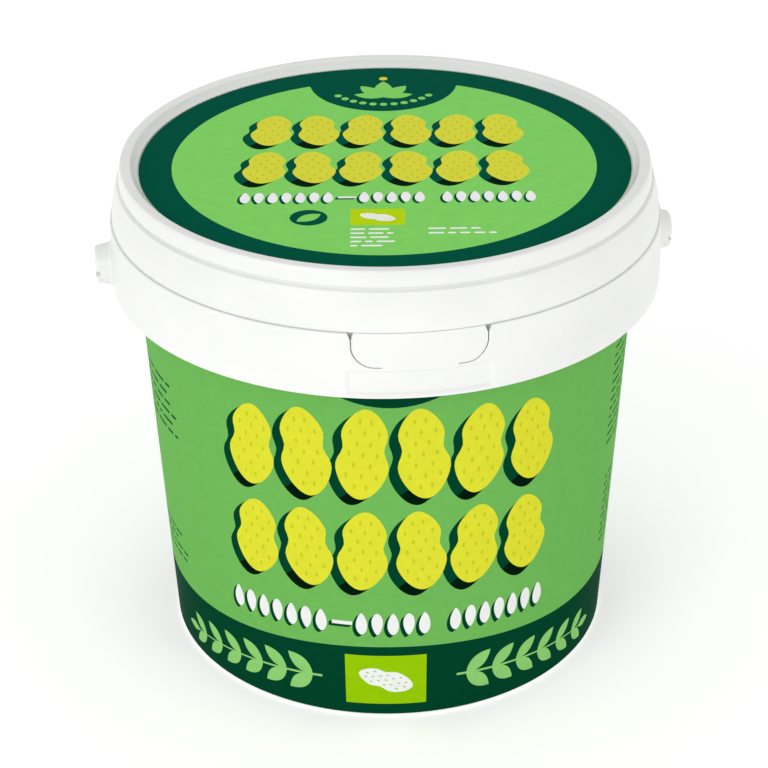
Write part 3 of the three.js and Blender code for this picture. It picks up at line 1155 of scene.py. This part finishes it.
def lid_artwork():
    art = Artwork(ellipse(2 * LID_FILM_RADIUS, 2 * LID_FILM_RADIUS, 256), "border_green")
    field = ellipse(2 * LID_FIELD_RADIUS, 2 * LID_FIELD_RADIUS, 220)
    art.add(placed(field, *LID_FIELD_MIDDLE), "light_green")
    add_lid_crown(art)
    for middle, half, foot, top in LID_ROWS:
        add_pod_row(art, middle, half, lambda x: foot, lambda x: top, "lid_yellow", "lid_dull_yellow",
                    LID_DROP, "border_green", "border_shade")
    add_seed_row(art, *LID_SEEDS, LID_SEED_DROP, "lid_white", "border_green")
    art.add(placed(ellipse(*SPOT_SIZE, 32), *SPOT_PLACE), "border_green")
    art.add(placed(leaf(*SPOT_LEAF), *SPOT_LEAF_PLACE), "light_green")
    art.add(placed(rectangle(*LID_LIME_SIZE), *LID_LIME_PLACE), "lid_lime")
    add_pod(art, *LID_LIME_PLACE, LID_LIME_SHELL, SHELL_TURN, "lid_white", "lid_lime")
    rng = random.Random(11)
    add_lines(art, *LID_LINES, "lid_white", rng)
    add_lines(art, *LID_LINES_RIGHT, "lid_white", rng, LID_LINES_RIGHT_RAGGED)
    return art


def circles_meet(first, first_radius, second, second_radius, side):
    """The point where two circles cross, on the right for side +1 or on the left for -1."""
    first, second = Vector(first), Vector(second)
    apart = (second - first).length
    reach = (apart ** 2 + first_radius ** 2 - second_radius ** 2) / (2 * apart)
    up = (second - first) / apart
    return first + up * reach + Vector((up.y, -up.x)) * side * math.sqrt(first_radius ** 2 - reach ** 2)


def crown_flare(side):
    """The rounded corner where the hanging half disc runs out into the border."""
    field, crown = Vector(LID_FIELD_MIDDLE), Vector(CROWN_MIDDLE)
    turn = circles_meet(field, LID_FIELD_RADIUS - CROWN_FILLET, crown, CROWN_RADIUS + CROWN_FILLET, side)
    tip = circles_meet(field, LID_FIELD_RADIUS, crown, CROWN_RADIUS, side)
    reach = [crown - turn, turn - field]
    start, end = [math.atan2(way.y, way.x) for way in reach]
    sweep = (end - start + math.pi) % (2 * math.pi) - math.pi
    angles = [start + sweep * i / FILLET_STEPS for i in range(FILLET_STEPS + 1)]
    fillet = [(turn.x + CROWN_FILLET * math.cos(a), turn.y + CROWN_FILLET * math.sin(a)) for a in angles]
    outer = field + reach[1].normalized() * (LID_FIELD_RADIUS + CROWN_OVERLAP)
    inner = crown + (turn - crown).normalized() * (CROWN_RADIUS - CROWN_OVERLAP)
    beyond = tip + (tip - turn).normalized() * CROWN_TIP
    return fillet + [tuple(outer), tuple(beyond), tuple(inner)]


def add_lid_crown(art):
    """Dark half disc hanging from the border, with a sprig of leaves over an arc of dots."""
    art.add(placed(ellipse(2 * CROWN_RADIUS, 2 * CROWN_RADIUS, 72), *CROWN_MIDDLE), "border_green")
    for side in (-1, 1):
        art.add(crown_flare(side), "border_green")
    x, y = CROWN_MIDDLE
    for k in range(-5, 6):
        angle = math.radians(FRONT + DOT_PITCH * k)
        place = (x + DOT_REACH * math.cos(angle), y + DOT_REACH * math.sin(angle))
        art.add(placed(ellipse(DOT_SIZE, DOT_SIZE, 14), *place), "light_green")
    for turn, size in SPRIG_LEAVES:
        art.add(placed(leaf(size, size * SPRIG_LEAF_WIDTH), x, SPRIG_FOOT, turn), "light_green")
    art.add(placed(ellipse(SPRIG_DOT_SIZE, SPRIG_DOT_SIZE, 16), x, SPRIG_DOT_PLACE), "lid_yellow")


def on_lid(point, inward):
    return Vector((point.x, point.y, disc_hi.z - inward)) * MM


def lid_grid():
    """Points on rings, so that no triangle is very long."""
    points = []
    for ring in range(1, LID_RINGS):
        r = LID_FILM_RADIUS * ring / LID_RINGS
        count = 10 * ring
        points += ellipse(2 * r, 2 * r, count)
    return points


def make_lid_film(materials):
    verts, pairs = partition(lid_artwork(), lid_grid(), LID_STEP)
    piece = film_piece("lid_film", verts, pairs, on_lid, lambda point: Vector((0.0, 0.0, 1.0)), materials,
                       "light_green")
    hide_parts("lid_label")


# Camera and stage

CAMERA_DISTANCE = 585.3
CAMERA_ELEVATION = 29.5
CAMERA_ROLL = -0.51
CAMERA_TARGET = (-0.70, 0.0, 61.87)
FOCAL_PIXELS = 2338.0
PICTURE_PIXELS = 768.0
SENSOR = 36.0
CLIP = (0.01, 50.0)

# Metres and watts
LIGHT_TARGET = (0.0, 0.0, 0.06)
LIGHT_SIZE = 0.9
LIGHTS = (("key", (-0.85, -1.1, 0.6), 5.6), ("fill", (1.1, -0.8, 0.5), 2.3))
WORLD_STRENGTH = 0.77
FLOOR_SIZE = 6.0
FLOOR_TONES = (0.80, 0.82)
FLOOR_SCALE = 3.0
FLOOR_GLOW = 0.36
FLOOR_ROUGHNESS = 0.9
WHITE = (1.0, 1.0, 1.0, 1.0)


def make_camera():
    e, roll = math.radians(CAMERA_ELEVATION), math.radians(CAMERA_ROLL)
    forward = Vector((0.0, math.cos(e), -math.sin(e)))
    right = Vector((1.0, 0.0, 0.0))
    up = right.cross(forward)
    rolled_right = right * math.cos(roll) + up * math.sin(roll)
    rolled_up = up * math.cos(roll) - right * math.sin(roll)
    place = (Vector(CAMERA_TARGET) - forward * CAMERA_DISTANCE) * MM
    data = bpy.data.cameras.new("camera")
    data.sensor_width = SENSOR
    data.lens = FOCAL_PIXELS / PICTURE_PIXELS * SENSOR
    data.clip_start, data.clip_end = CLIP
    camera = bpy.data.objects.new("camera", data)
    axes = Matrix((rolled_right, rolled_up, -forward)).transposed().to_4x4()
    camera.matrix_world = Matrix.Translation(place) @ axes
    bpy.context.scene.collection.objects.link(camera)
    bpy.context.scene.camera = camera


def area_light(name, place, power):
    data = bpy.data.lights.new(name, "AREA")
    data.shape = "DISK"
    data.size = LIGHT_SIZE
    data.energy = power
    light = bpy.data.objects.new(name, data)
    direction = Vector(LIGHT_TARGET) - Vector(place)
    light.rotation_mode = "QUATERNION"
    light.rotation_quaternion = direction.to_track_quat("-Z", "Y")
    light.location = place
    bpy.context.scene.collection.objects.link(light)


def make_stage():
    bm = bmesh.new()
    bmesh.ops.create_grid(bm, x_segments=2, y_segments=2, size=FLOOR_SIZE)
    floor = finish_mesh(bm, "floor")
    material, tree, shader, place = new_material("floor_paper")
    mottled(tree, noise(tree, place, FLOOR_SCALE), shader, *[(tone, tone, tone) for tone in FLOOR_TONES])
    shader.inputs["Roughness"].default_value = FLOOR_ROUGHNESS
    shader.inputs["Emission Color"].default_value = WHITE
    shader.inputs["Emission Strength"].default_value = FLOOR_GLOW
    floor.data.materials.append(material)
    world = bpy.data.worlds.new("studio")
    world.use_nodes = True
    world.node_tree.nodes["Background"].inputs["Color"].default_value = WHITE
    world.node_tree.nodes["Background"].inputs["Strength"].default_value = WORLD_STRENGTH
    bpy.context.scene.world = world
    for light in LIGHTS:
        area_light(*light)
    bpy.context.scene.view_settings.view_transform = "Standard"
    bpy.context.scene.view_settings.look = "None"


make_camera()
make_stage()
plastic = white_plastic()
prints = {name: print_ink(name) for name in (*WALL_INKS, *LID_INKS)}
make_pail(plastic)
make_lid(plastic)
make_body_film(prints)
make_lid_film(prints)
